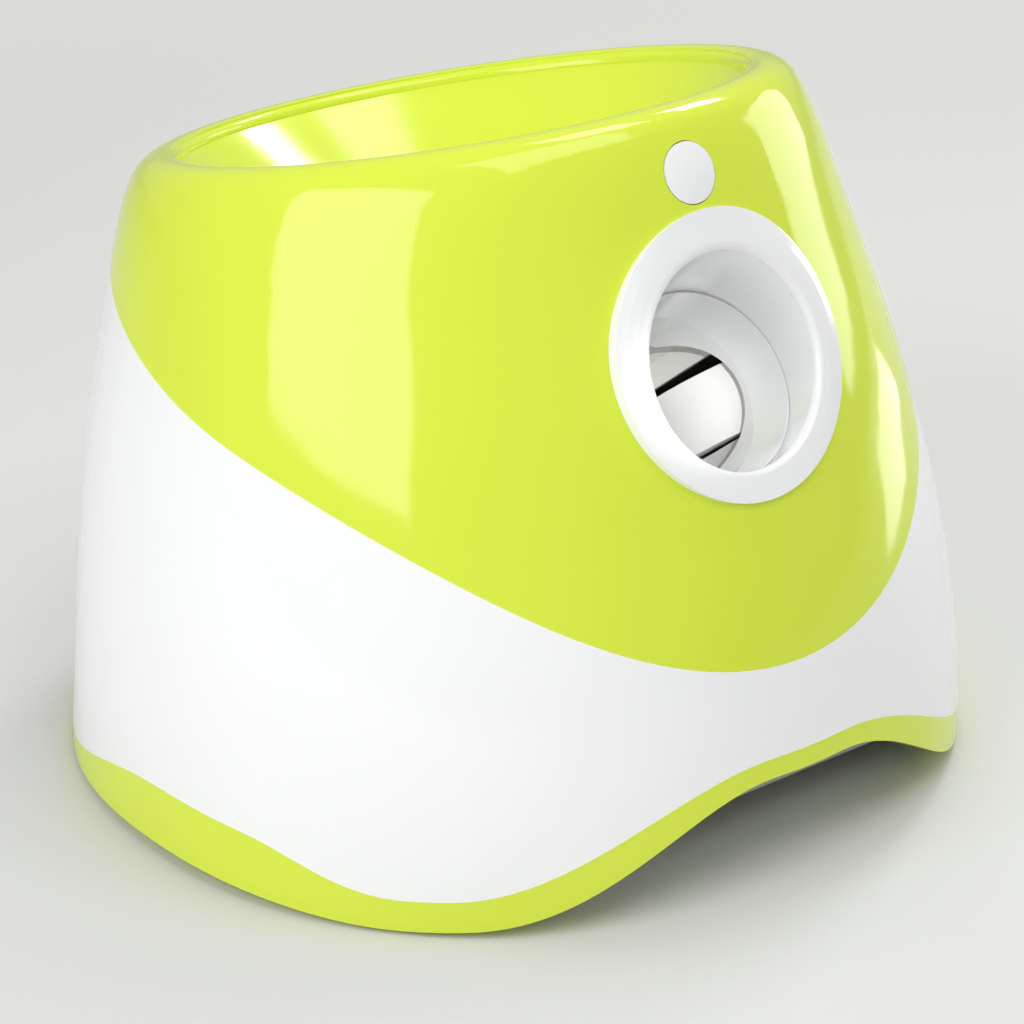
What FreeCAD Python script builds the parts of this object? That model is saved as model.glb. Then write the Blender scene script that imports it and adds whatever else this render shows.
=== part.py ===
"""Automatic dog ball launcher: a hopper on top feeds 50 mm balls to two flywheels that throw them
out of a tilted barrel at the front.

Millimetres. The origin is the middle of the base on the ground, +Z is up and the outlet faces -Y.
Angles round the body start at the front and run towards -X. Two tilted frames carry the rest: the
launch frame (X, depth into the body, height across the channel) and the ring frame of the outlet.
"""
import FreeCAD, Part
import math
import os
from FreeCAD import Placement, Rotation, Vector

os.makedirs("parts", exist_ok=True)

# ---- ball and fits ----
ball_radius = 25.0
slip = 0.3                # gap between a moving piece and its guide
bearing_gap = 0.05        # radial gap of a running shaft
overshoot = 1.0           # how far a cutting tool runs past the face that it cuts
through = 200.0           # reach of the cutting tools that pass right out of the body

# ---- body outline ----
body_half_width = 144.7
body_widest_y = -10.8
body_front_reach = 131.2
body_rear_reach = 151.15
rear_squareness = 2.2     # 2 is an ellipse
rim_half_width = 105.6
rim_half_depth = 100.2
rim_centre_y = 25.0
rim_centre_z = 206.0
rim_tilt = 13.4
lean = 0.845              # how long the wall stays upright before it leans in
lean_front = 0.024
sweep = 0.082             # how the lean is shared between the foot and the rim
sweep_front = 0.405
rim_roll = 8.0            # radius of the rolled top edge
rim_lip = 14.2            # from the outside of the rim to the hopper's edge
rim_lip_drop = 1.7
lip_round = 3.0           # radius of the rim's inner edge
shell_wall = 2.8
skirt_wall = 1.6          # the upper shell's skirt laps inside the lower shell
skirt_lap = 6.0

# the line where the upper shell meets the lower one, seen from the side
bib_line = [(-134.3, 72.2), (-120.8, 84.1), (-86.6, 108.3), (-41.0, 129.4), (7.3, 142.4),
            (87.7, 162.8), (160.0, 171.0)]

# ---- foot line and base trim: (angle from the front, height) at its crests and hollows ----
ground_gap = 0.8
front_arch_height = 38.2
front_arch_flat = 14.6
front_arch_half = 104.5
side_foot_line = [(50, 0.0), (85, 3.6), (126, 0.0), (142, 0.0), (180, 3.6)]
trim_line = [(0, 45.2), (6, 45.2), (48, 11.5), (54, 11.5), (78, 23.5), (90, 23.5), (124, 6.8),
             (138, 6.8), (180, 20.0)]
trim_foot_width = 9.0     # the trim's foot line is turned inwards this far
trim_foot_thick = 2.4

# ---- base pan ----
pan_low = 7.8
pan_thick = 3.0
arch_depth = 44.0
foot_pad_radius = 12.0
foot_radius = 9.0
foot_height = 4.0
foot_recess = 1.0
foot_angles = [52, 131]
foot_reach = 0.84         # share of the way from the middle to the outline
boss_angles = [66, 114]
boss_reach = 0.945
boss_radius = 4.5
boss_top = 45.0           # the posts' tops
screw_radius = 1.5
screw_head_radius = 2.8
screw_head_height = 1.8
housing_screw_length = 14.0

# ---- launch frame: mouth of the barrel ----
launch_tilt = 38.0
mouth_y = -89.9
mouth_z = 146.4
mouth_radius = 29.7
barrel_bore = 27.8
barrel_wall = 2.2
mouth_flare = 16.0
barrel_length = 36.0

# ---- flywheels and motors ----
wheel_radius = 39.0
wheel_width = 22.0
wheel_waist = 1.2
nip_half = 21.0
wheel_depth = 50.0
wheel_height = -1.8       # the wheels' middle lies a little under the barrel's axis
tyre_thick = 5.5
wheel_guard_gap = 6.0     # room between a wheel and the scalloped end of the barrel
hub_rim = 3.0
hub_web = 3.0
hub_boss_radius = 6.0
hub_boss_below = 2.0
hub_boss_sunk = 3.0       # the boss's top lies this far inside the rim
hub_hole_radius = 5.5
hub_hole_circle = 18.5
hub_holes = 6
bracket_gap = 2.0         # hub boss to bracket
bracket_thick = 2.0
bracket_half_depth = 18.0
bracket_outer = 78.0
bracket_flange_drop = 13.0
bracket_screw_spread = 12.0
motor_radius = 13.85
motor_length = 30.8
motor_wall = 1.0
motor_boss_radius = 5.0
motor_boss_height = 1.8
end_cap_length = 7.0
end_cap_round = 2.0
end_boss_radius = 4.5
end_boss_length = 2.0
shaft_radius = 1.15
rotor_radius = 10.8
rotor_length = 18.0
rotor_slot_radius = 2.0
rotor_slots = 3
motor_screw_circle = 8.5
motor_screw_radius = 1.25
motor_screw_head = 2.2
motor_screw_head_height = 1.3
motor_screw_bite = 1.0
shaft_below = 3.0
shaft_short = 2.0         # the shaft ends this far inside the wheel's far face

# ---- ball channel and drop tube ----
channel_half = 30.3
channel_wall = 2.2
channel_floor = -27.8
channel_front = 16.0
channel_chamfer = 9.3
pocket_depth = 69.0       # where a ball waits, centred under the drop tube
slot_half_height = 13.7
slot_half_length = 30.0
drop_top = 56.0
drop_flange_radius = 36.0
drop_flange_thick = 2.0
hopper_wall = 2.2
hopper_flange = 4.5
hopper_waist = 0.5
hopper_waist_share = 0.5

# ---- trip lever and its switch, behind the drop tube ----
pivot_depth = 103.0
pivot_height = 51.0
pivot_radius = 1.2
lever_hub_radius = 3.0
lever_length = 14.0
lever_thick = 1.6
lever_half_width = 5.0
lever_tip_radius = 1.6
lever_lean = 45.0
lever_slot_half = 6.0
lever_slot_top = 3.0      # wall left over the slot
ear_inner = 6.6
ear_thick = 2.0
ear_back = 112.0
ear_bottom = 34.5
ear_top = 53.5
shelf_thick = 1.5
switch_depth = 5.8
switch_height = 6.5
switch_front = 99.8
switch_key_half = 1.2
switch_key_low = 4.2
switch_key_high = 5.8
switch_key_proud = 0.8

# ---- outlet ring frame: a flange on the shell, and an oblique cup behind it ----
ring_tilt = 23.5
ring_y = -99.8
ring_z = 159.05
ring_half_width = 42.6
ring_half_height = 44.2
ring_edge = 1.5           # the face is drawn this much past the ring's outline
ring_proud = 1.3          # at the top and the bottom
ring_side_proud = 2.4
ring_hole = 38.8          # hole in the shell
ring_wall = 2.2
ring_reach = 60.0
ring_front_radius = 52.0  # where the tool that hollows the ring starts, in front of the shell
ring_front = 14.0
ring_points = 24
# the lip between face and bowl is an oval, a little under the ring's middle
lip_forward = 3.2         # at the sides
lip_half_width = 33.6
lip_half_height = 35.4
lip_drop = 1.0
lip_rise = 1.05           # more than that at the top and the bottom, as the shell curves
lip_lean = 0.55           # and more again at the top, less at the bottom
# how far its rolled edge goes in, from each side and from the top, and down and back
lip_in_width = 2.0
lip_in_height = 2.5
lip_in_drop = 0.8
lip_in_depth = 2.6
face_steps = 4
lip_steps = 8
cup_floor = 1.0           # behind the barrel's mouth
cup_radius = 30.7

# ---- button frame ----
button_tilt = 24.0
button_y = -79.9
button_z = 210.8
button_radius = 9.35
button_proud = 1.4
button_dome = 1.0
button_length = 5.0
button_wall = 2.0
button_face = 2.9
button_stem_radius = 2.2
button_flange = 1.0
button_flange_thick = 1.2
button_travel = 1.0
button_tube_wall = 1.8
button_tube_length = 13.0
button_reach = 20.0
button_board_thick = 1.6
tact_half = 3.0
tact_height = 3.5
tact_gap = 0.8            # from the plunger at rest to the switch; less than the travel
plunger_radius = 1.7
plunger_height = 1.6

# ---- stand ----
stand_half = 24.0
stand_rib = 3.0
stand_front = -69.3
stand_rear = -47.3
stand_foot = 3.0
stand_foot_half = 32.0
stand_screw_inset = 4.0
stand_top = 130.0         # the ribs are cut off here by the channel's sloping floor
stand_reach = 160.0

# ---- batteries ----
cell_radius = 13.1
cell_length = 50.0
cells_in_row = 3
cell_rows = 2
cell_pitch = 27.2
cell_nub_radius = 3.2
cell_nub = 1.5
cell_low = 10.5
contact_room = 5.0
contact_thick = 0.5
contact_half = 8.0
contact_nub_radius = 4.0
coil_radius = 5.0
coil_wire = 0.4           # radius of the wire
coil_turns = 3.2
box_wall = 2.0
box_clear = 0.5
battery_y = -3.0
bay_frame = 5.0           # thickness of the pan around the bay
bay_rim_x = 6.0
bay_rim_y = 4.0
door_thick = 2.0
door_lap = 4.0
door_tab = 2.0
door_tab_thick = 1.0
door_travel = 10.0
door_gap = 0.3
door_grip_half = 12.0     # finger ribs: half length, groove width, pitch, depth, distance in
door_grip_groove = 1.5
door_grip_pitch = 3.0
door_grip_depth = 0.8
door_grip_inset = 6.0
door_grips = 5

# ---- control board ----
board_y = 80.0
board_half_x = 35.0
board_half_y = 22.0
board_thick = 1.6
board_height = 20.0
standoff_radius = 3.2
board_inset = 4.0
board_screw_radius = 1.0
board_screw_head = 1.9
board_screw_head_height = 1.4
board_screw_bite = 6.0
relay_x, relay_y, relay_z = 12.0, 15.0, 10.0
relay_left = -22.0
relay_pitch = 17.0
can_radius = 3.2
can_height = 11.0
can_first = 14.0
can_pitch = 8.0
chip_x, chip_y, chip_z = 12.0, 7.0, 1.5
socket_x, socket_y, socket_z = 9.0, 7.0, 6.0
socket_left = -26.0
socket_pitch = 12.0

# ---- power inlet ----
inlet_z = 34.0
inlet_cup_radius = 10.0
inlet_cup_depth = 6.0
inlet_wall = 2.0
inlet_hole = 4.0
jack_radius = 3.9
jack_half = 5.5
jack_length = 12.0
jack_pin = 1.0
jack_bore = 2.75
jack_bore_depth = 10.0
jack_pin_short = 1.0


# ---------------------------------------------------------------- frames
launch = Placement(Vector(0, mouth_y, mouth_z), Rotation(Vector(1, 0, 0), -launch_tilt))
ring_frame = Placement(Vector(0, ring_y, ring_z), Rotation(Vector(1, 0, 0), -ring_tilt))
button_frame = Placement(Vector(0, button_y, button_z), Rotation(Vector(1, 0, 0), -button_tilt))
along_depth = Rotation(Vector(1, 0, 0), -90)      # turns a shape built on Z onto +Y


def placed(shape, frame):
    moved = shape.copy()
    moved.Placement = frame.multiply(moved.Placement)
    return moved


def box(low, high):
    size = [high[i] - low[i] for i in range(3)]
    return Part.makeBox(*size, Vector(*low))


def rod(radius, start, end):
    way = Vector(*end) - Vector(*start)
    return Part.makeCylinder(radius, way.Length, Vector(*start), way)


def turned(outline):
    """Solid of revolution about Z from (radius, height) points."""
    points = [Vector(r, 0, z) for r, z in outline]
    face = Part.Face(Part.makePolygon(points + points[:1]))
    return face.revolve(Vector(0, 0, 0), Vector(0, 0, 1), 360)


def prism_x(outline, half):
    """(y, z) outline pulled along X, equally to both sides."""
    points = [Vector(-half, y, z) for y, z in outline]
    face = Part.Face(Part.makePolygon(points + points[:1]))
    return face.extrude(Vector(2 * half, 0, 0))


def join(shapes):
    whole = shapes[0]
    for shape in shapes[1:]:
        whole = whole.fuse(shape)
    return whole.removeSplitter()


def mirrored(shape):
    return shape.mirror(Vector(0, 0, 0), Vector(1, 0, 0))


def write(name, *solids):
    kept = []
    for shape in solids:
        kept.extend(shape.Solids)
    result = kept[0] if len(kept) == 1 else Part.makeCompound(kept)
    if not result.isValid():
        print("INVALID", name)
    result.exportStep("parts/" + name + ".step")
    print(name, len(kept), "solids", round(result.Volume / 1000.0, 2), "cm3")


# ---------------------------------------------------------------- outer skin
def plan_point(degrees, share=1.0, inset=0.0):
    """Point of the base outline: degrees from the front, share of the way out from the middle."""
    side, fore = math.sin(math.radians(degrees)), math.cos(math.radians(degrees))
    power = 1.0 if fore >= 0 else 2.0 / rear_squareness
    reach = body_front_reach if fore >= 0 else body_rear_reach
    x = -math.copysign(abs(side) ** power, side) * (body_half_width - inset)
    y = body_widest_y - math.copysign(abs(fore) ** power, fore) * (reach - inset)
    return x * share, body_widest_y + (y - body_widest_y) * share


def rim_point(degrees, inset=0.0):
    tilt = math.radians(rim_tilt)
    run = -(rim_half_depth - inset) * math.cos(math.radians(degrees))
    x = -(rim_half_width - inset) * math.sin(math.radians(degrees))
    return x, rim_centre_y + run * math.cos(tilt), rim_centre_z - run * math.sin(tilt)


def wall_point(degrees, drop=None, climb=None, inset=0.0):
    """Point of the wall, drop below the rim plane or climb, a share of the way up to the roll."""
    fore = math.cos(math.radians(degrees))
    bx, by = plan_point(degrees, 1.0, inset)
    rx, ry, rz = rim_point(degrees, inset)
    height = (rz - rim_roll) * climb if drop is None else rz - drop
    t = height / rz
    bulge = t * (1 - t)
    in_share = (t + (-lean + lean_front * fore) * bulge
                + (sweep - sweep_front * fore) * bulge * (1 - 2 * t))
    return Vector(bx + (rx - bx) * in_share, by + (ry - by) * in_share, height)


def lip_point(degrees, drop=0.0, grow=0.0):
    """Point of the flat oval edge where the rolled rim ends and the hopper begins."""
    x, y, z = rim_point(degrees, rim_lip - grow)
    return Vector(x, y, z - rim_lip_drop - drop)


def closed_curve(points):
    curve = Part.BSplineCurve()
    curve.interpolate(Points=points, PeriodicFlag=True)
    return Part.Wire(curve.toShape())


def skin(inset=0.0, around=40):
    """Solid inside the wall: inset 0 is the outside of the shells."""
    turns = [360.0 * i / around for i in range(around)]
    climbs = [0.0, 0.14, 0.28, 0.42, 0.56, 0.7, 0.85, 1.0]
    sections = [[wall_point(a, climb=c, inset=inset) for a in turns] for c in climbs]
    roll = rim_roll - inset
    sunk = rim_lip_drop if inset else 0.0       # the underside of the rim is level with its lip
    for lift in (30, 60):
        drop = inset + sunk + (roll - sunk) * (1 - math.sin(math.radians(lift)))
        inward = rim_roll - roll * math.cos(math.radians(lift))
        sections.append([wall_point(a, drop=drop, inset=inward) for a in turns])
    sections.append([lip_point(a, inset + sunk - rim_lip_drop, rim_lip - rim_roll) for a in turns])
    sections.append([lip_point(a, inset) for a in turns])
    return Part.makeLoft([closed_curve(s) for s in sections], True, False)


def bib_side(above, shift=0.0):
    """Everything above (or below) the line between the shells."""
    spline = Part.BSplineCurve()
    points = [Vector(-body_half_width * 1.2, y, z + shift) for y, z in bib_line]
    first, last = points[0], points[-1]
    lead = Vector(first.x, first.y - 40, first.z - 45)
    spline.interpolate(Points=[lead] + points)
    far = rim_centre_z * 1.6 if above else -60
    corners = [last, Vector(first.x, last.y, far), Vector(first.x, lead.y, far), lead]
    edges = [spline.toShape()] + [Part.makeLine(corners[i], corners[i + 1]) for i in range(3)]
    return Part.Face(Part.Wire(edges)).extrude(Vector(body_half_width * 2.4, 0, 0))


def wave(degrees, stops):
    """Smooth wave through its crests and hollows."""
    if degrees <= stops[0][0]:
        return stops[0][1]
    for (a0, z0), (a1, z1) in zip(stops, stops[1:]):
        if degrees <= a1:
            share = (degrees - a0) / (a1 - a0)
            return z0 + (z1 - z0) * 0.5 * (1 - math.cos(math.pi * share))
    return stops[-1][1]


def front_arch(x):
    share = (abs(x) - front_arch_flat) / (front_arch_half - front_arch_flat)
    share = min(max(share, 0.0), 1.0)
    return front_arch_height * 0.5 * (1 + math.cos(math.pi * share))


def foot_height_at(degrees):
    arch = front_arch(plan_point(degrees)[0]) if degrees < 90 else 0.0
    return ground_gap + max(arch, wave(degrees, side_foot_line))


def trim_height_at(degrees):
    return wave(degrees, trim_line)


def foot_top_at(degrees):
    return foot_height_at(degrees) + trim_foot_thick


def below(height_at):
    """Everything under a line that runs round the body at the height given for each angle."""
    steps = [180.0 * i / 60 for i in range(61)]
    rails = []
    for share in (0.3, 1.15):
        curve = Part.BSplineCurve()
        spots = [plan_point(a, share) + (height_at(a),) for a in steps]
        curve.interpolate(Points=[Vector(*spot) for spot in spots])
        rails.append(curve.toShape())
    half = Part.makeRuledSurface(rails[0], rails[1]).extrude(Vector(0, 0, -120))
    return half.fuse(mirrored(half))


outer_skin = skin()
inner_skin = skin(shell_wall)
above_bib = bib_side(True)


# ---------------------------------------------------------------- launch parts, in their own frame
channel_outer = channel_half + channel_wall
bracket_top = wheel_height - wheel_width / 2 - hub_boss_below - bracket_gap
bracket_bottom = bracket_top - bracket_thick
can_bottom = bracket_bottom - motor_length
bracket_screw_height = bracket_top - bracket_flange_drop / 2 - bracket_thick / 2
bracket_screw_depths = [wheel_depth - bracket_screw_spread, wheel_depth + bracket_screw_spread]


def launch_part(shape):
    return placed(shape, launch)


def wheel_x(side):
    return side * (nip_half + wheel_radius)


def wheel_part(shape, side):
    spot = Placement(Vector(wheel_x(side), wheel_depth, wheel_height), Rotation())
    return launch_part(placed(shape, spot))


def barrel_envelope(extra=0.0, start=0.0, end=barrel_length):
    return rod(barrel_bore + barrel_wall + extra, (0, start, 0), (0, end, 0))


def launch_barrel():
    outer = barrel_envelope()
    bore = rod(barrel_bore, (0, -overshoot, 0), (0, barrel_length + overshoot, 0))
    flare = turned([(0, 0), (mouth_radius, 0), (barrel_bore, mouth_flare), (0, mouth_flare)])
    tube = outer.cut(bore).cut(placed(flare, Placement(Vector(), along_depth)))
    for side in (-1, 1):
        centre = wheel_x(side)
        tube = tube.cut(rod(wheel_radius + wheel_guard_gap, (centre, wheel_depth, -through),
                            (centre, wheel_depth, through)))
    return launch_part(tube)


def channel_form(grow=0.0):
    """The hollow of the ball channel, or its outside when grow is the wall."""
    half = channel_half + grow
    floor = channel_floor - grow
    back = pocket_depth + channel_half + grow
    corner = channel_chamfer + grow * math.tan(math.radians(22.5))
    reach = (ball_radius + grow) * math.sqrt(2.0)
    seat = pocket_depth + reach - (channel_floor + ball_radius)
    ramp = [(seat + floor, floor), (back, back - seat)]
    side = [(channel_front - (overshoot if grow == 0 else 0), floor), ramp[0], ramp[1],
            (back, half), (channel_front - (overshoot if grow == 0 else 0), half)]
    body = prism_x(side, half)
    across = [(-half, floor), (half, floor), (half, half - corner), (half - corner, half),
              (corner - half, half), (-half, half - corner)]
    points = [Vector(x, 0, z) for x, z in across]
    face = Part.Face(Part.makePolygon(points + points[:1]))
    return body.common(face.extrude(Vector(0, back + overshoot, 0)))


def ball_channel():
    shell = channel_form(channel_wall).cut(channel_form())
    shell = shell.cut(barrel_envelope())
    slot = box((-through, wheel_depth - slot_half_length, -slot_half_height),
               (through, wheel_depth + slot_half_length, slot_half_height))
    drop = rod(barrel_bore, (0, pocket_depth, 0), (0, pocket_depth, through))
    shell = shell.cut(slot).cut(drop)
    for spot in bracket_screw_depths:
        shell = shell.cut(rod(screw_radius, (-channel_outer, spot, bracket_screw_height),
                              (channel_outer, spot, bracket_screw_height)))
    return launch_part(shell)


def drop_tube():
    low = channel_outer
    tube = rod(barrel_bore + barrel_wall, (0, pocket_depth, low), (0, pocket_depth, drop_top))
    flange = rod(drop_flange_radius, (0, pocket_depth, low),
                 (0, pocket_depth, low + drop_flange_thick))
    flange = flange.common(box((-channel_half, 0, 0), (channel_half, through, through)))
    wall = pocket_depth + barrel_bore
    ear = box((ear_inner, wall, ear_bottom), (ear_inner + ear_thick, ear_back, ear_top))
    shelf = box((-ear_inner - ear_thick, wall, ear_bottom - shelf_thick),
                (ear_inner + ear_thick, ear_back, ear_bottom))
    body = join([tube, flange, shelf, ear, mirrored(ear)])
    body = body.cut(rod(barrel_bore, (0, pocket_depth, 0), (0, pocket_depth, drop_top + overshoot)))
    body = body.cut(box((-lever_slot_half, pocket_depth, ear_bottom + overshoot),
                        (lever_slot_half, wall + barrel_wall + overshoot,
                         drop_top - lever_slot_top)))
    return launch_part(body.cut(rod(pivot_radius, (-through, pivot_depth, pivot_height),
                                    (through, pivot_depth, pivot_height))))


def trip_lever():
    hub = rod(lever_hub_radius, (-lever_half_width, pivot_depth, pivot_height),
              (lever_half_width, pivot_depth, pivot_height))
    arm = box((-lever_half_width, -lever_thick / 2, -lever_length),
              (lever_half_width, lever_thick / 2, 0))
    swing = Placement(Vector(0, pivot_depth, pivot_height), Rotation(Vector(1, 0, 0), -lever_lean))
    tip = rod(lever_tip_radius, (-lever_half_width, 0, -lever_length),
              (lever_half_width, 0, -lever_length))
    body = join([hub, placed(arm, swing), placed(tip, swing)])
    return launch_part(body.cut(rod(pivot_radius + bearing_gap,
                                    (-through, pivot_depth, pivot_height),
                                    (through, pivot_depth, pivot_height))))


def trip_pin():
    end = ear_inner + ear_thick
    return launch_part(rod(pivot_radius, (-end, pivot_depth, pivot_height),
                           (end, pivot_depth, pivot_height)))


def trip_switch():
    body = box((-ear_inner, switch_front, ear_bottom),
               (ear_inner, switch_front + switch_depth, ear_bottom + switch_height))
    key = box((-switch_key_half, switch_front - switch_key_proud, ear_bottom + switch_key_low),
              (switch_key_half, switch_front, ear_bottom + switch_key_high))
    return launch_part(join([body, key]))


def wheel_tyre(side):
    half = wheel_width / 2
    inner = wheel_radius - tyre_thick
    arc = Part.Arc(Vector(wheel_radius, 0, -half), Vector(wheel_radius - wheel_waist, 0, 0),
                   Vector(wheel_radius, 0, half)).toShape()
    corners = [Vector(wheel_radius, 0, half), Vector(inner, 0, half), Vector(inner, 0, -half),
               Vector(wheel_radius, 0, -half)]
    edges = [arc] + [Part.makeLine(corners[i], corners[i + 1]) for i in range(3)]
    return wheel_part(Part.Face(Part.Wire(edges)).revolve(Vector(), Vector(0, 0, 1), 360), side)


def wheel_hub(side):
    half = wheel_width / 2
    outer = wheel_radius - tyre_thick
    inner = outer - hub_rim
    top = half - hub_boss_sunk
    body = turned([(shaft_radius, -half - hub_boss_below), (hub_boss_radius, -half - hub_boss_below),
                   (hub_boss_radius, -hub_web / 2), (inner, -hub_web / 2), (inner, -half),
                   (outer, -half), (outer, half), (inner, half), (inner, hub_web / 2),
                   (hub_boss_radius, hub_web / 2), (hub_boss_radius, top), (shaft_radius, top)])
    for i in range(hub_holes):
        angle = 2 * math.pi * i / hub_holes
        spot = (hub_hole_circle * math.cos(angle), hub_hole_circle * math.sin(angle))
        body = body.cut(rod(hub_hole_radius, spot + (-hub_web,), spot + (hub_web,)))
    return wheel_part(body, side)


def motor_axis_part(shape, side):
    return launch_part(placed(shape, Placement(Vector(wheel_x(side), wheel_depth, 0), Rotation())))


def motor_bracket(side):
    near = channel_outer
    plate = box((near, wheel_depth - bracket_half_depth, bracket_bottom),
                (bracket_outer, wheel_depth + bracket_half_depth, bracket_top))
    flange = box((near, wheel_depth - bracket_half_depth, bracket_top - bracket_flange_drop),
                 (near + bracket_thick, wheel_depth + bracket_half_depth, bracket_top))
    body = join([plate, flange])
    hub = wheel_x(1)
    body = body.cut(rod(motor_boss_radius, (hub, wheel_depth, bracket_bottom - overshoot),
                        (hub, wheel_depth, bracket_top + overshoot)))
    for way in (-1, 1):
        spot = wheel_depth + way * motor_screw_circle
        body = body.cut(rod(motor_screw_radius, (hub, spot, bracket_bottom - overshoot),
                            (hub, spot, bracket_top + overshoot)))
    for spot in bracket_screw_depths:
        body = body.cut(rod(screw_radius, (near - overshoot, spot, bracket_screw_height),
                            (near + bracket_thick + overshoot, spot, bracket_screw_height)))
    return launch_part(body if side > 0 else mirrored(body))


def motor_can(side):
    top = bracket_bottom
    body = turned([(shaft_radius + bearing_gap, top + motor_boss_height),
                   (motor_boss_radius, top + motor_boss_height), (motor_boss_radius, top),
                   (motor_radius, top), (motor_radius, can_bottom),
                   (motor_radius - motor_wall, can_bottom),
                   (motor_radius - motor_wall, top - motor_wall),
                   (shaft_radius + bearing_gap, top - motor_wall)])
    for way in (-1, 1):
        body = body.cut(rod(motor_screw_radius, (0, way * motor_screw_circle, can_bottom),
                            (0, way * motor_screw_circle, top + overshoot)))
    return motor_axis_part(body, side)


def motor_end_cap(side):
    low = can_bottom - end_cap_length
    body = turned([(shaft_radius + bearing_gap, can_bottom), (motor_radius, can_bottom),
                   (motor_radius, low + end_cap_round), (motor_radius - end_cap_round, low),
                   (end_boss_radius, low), (end_boss_radius, low - end_boss_length),
                   (shaft_radius + bearing_gap, low - end_boss_length)])
    return motor_axis_part(body, side)


def motor_rotor(side):
    middle = (bracket_bottom + can_bottom) / 2
    body = turned([(shaft_radius, middle - rotor_length / 2), (rotor_radius, middle - rotor_length / 2),
                   (rotor_radius, middle + rotor_length / 2), (shaft_radius, middle + rotor_length / 2)])
    for i in range(rotor_slots):
        angle = 2 * math.pi * i / rotor_slots
        spot = (rotor_radius * math.cos(angle), rotor_radius * math.sin(angle))
        body = body.cut(rod(rotor_slot_radius, spot + (can_bottom,), spot + (bracket_bottom,)))
    return motor_axis_part(body, side)


def motor_shaft(side):
    low = can_bottom - end_cap_length - shaft_below
    top = wheel_height + wheel_width / 2 - shaft_short
    return motor_axis_part(rod(shaft_radius, (0, 0, low), (0, 0, top)), side)


def motor_screws():
    screws = []
    for side in (-1, 1):
        for way in (-1, 1):
            head = rod(motor_screw_head, (0, way * motor_screw_circle, bracket_top),
                       (0, way * motor_screw_circle, bracket_top + motor_screw_head_height))
            stem = rod(motor_screw_radius,
                       (0, way * motor_screw_circle, bracket_bottom - motor_screw_bite),
                       (0, way * motor_screw_circle, bracket_top))
            screws.append(motor_axis_part(join([head, stem]), side))
    return screws


def bracket_screws():
    screws = []
    near = channel_outer + bracket_thick
    height = bracket_screw_height
    for spot in bracket_screw_depths:
        stem = rod(screw_radius, (channel_half, spot, height), (near, spot, height))
        head = rod(screw_head_radius, (near, spot, height),
                   (near + screw_head_height, spot, height))
        screws += [launch_part(join([stem, head])), launch_part(mirrored(join([stem, head])))]
    return screws


# ---------------------------------------------------------------- outlet ring and button
def ring_part(shape):
    return placed(shape, ring_frame)


def ring_bore(half_width=ring_hole, half_height=ring_hole):
    front = overshoot - ring_front
    outline = Part.Circle(Vector(0, front, 0), Vector(0, 1, 0), half_height)
    if half_width < half_height:
        outline = Part.Ellipse(Vector(0, front, half_height), Vector(half_width, front, 0),
                               Vector(0, front, 0))
    return ring_part(Part.Face(Part.Wire(outline.toShape())).extrude(Vector(0, ring_reach, 0)))


def shell_depth(degrees, radius):
    """Depth at which the outer wall crosses a circle of the ring frame."""
    x, height = radius * math.sin(math.radians(degrees)), radius * math.cos(math.radians(degrees))
    way = Part.makeLine(ring_frame.multVec(Vector(x, -ring_reach, height)),
                        ring_frame.multVec(Vector(x, ring_reach / 2, height)))
    back = ring_frame.inverse()
    return min(back.multVec(end.Point).y for end in way.common(outer_skin).Vertexes)


def outlet_ring():
    turns = [2 * math.pi * i / ring_points for i in range(ring_points)]
    proud = [ring_proud + (ring_side_proud - ring_proud) * math.sin(a) ** 2 for a in turns]
    edge = [shell_depth(math.degrees(a), ring_half_height) - b for a, b in zip(turns, proud)]

    def oval(half_width, half_height, drop, depths):
        return [ring_frame.multVec(Vector(half_width * math.sin(a), depth,
                                          half_height * math.cos(a) - drop))
                for a, depth in zip(turns, depths)]

    def cup(grow):
        """Face, rolled lip and oblique bowl, whose floor is square to the barrel."""
        front, wide = ring_front_radius + grow, ring_half_height + ring_edge + grow
        half_width, half_height = lip_half_width + grow, lip_half_height + grow
        rim = [depth + grow for depth in edge]
        lip = [grow - lip_forward - lip_rise * math.cos(a) ** 2 - lip_lean * math.cos(a)
               for a in turns]
        ovals = [oval(front, front, 0, [-ring_front] * ring_points)]
        for i in range(face_steps):
            share = i / face_steps
            rise = share * (2 - share)
            ovals.append(oval(wide + (half_width - wide) * share,
                              wide + (half_height - wide) * share, lip_drop * share,
                              [a + (b - a) * rise for a, b in zip(rim, lip)]))
        for i in range(lip_steps + 1):
            turn = math.pi / 2 * i / lip_steps
            inward, back = math.sin(turn), 1 - math.cos(turn)
            ovals.append(oval(half_width - lip_in_width * inward,
                              half_height - lip_in_height * inward,
                              lip_drop + lip_in_drop * inward,
                              [depth + lip_in_depth * back for depth in lip]))
        floor = cup_radius + grow
        ovals.append([launch.multVec(Vector(floor * math.sin(a), cup_floor + grow,
                                            floor * math.cos(a))) for a in turns])
        return Part.makeLoft([closed_curve(points) for points in ovals], True, True)

    flange = ring_bore(ring_half_width, ring_half_height).cut(outer_skin)
    wall = cup(ring_wall).common(ring_bore())
    ring = flange.fuse(wall).cut(cup(0.0))
    return ring.cut(launch_part(barrel_envelope(0.0, -overshoot, through)))


def button_part(shape):
    return placed(shape, button_frame)


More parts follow.
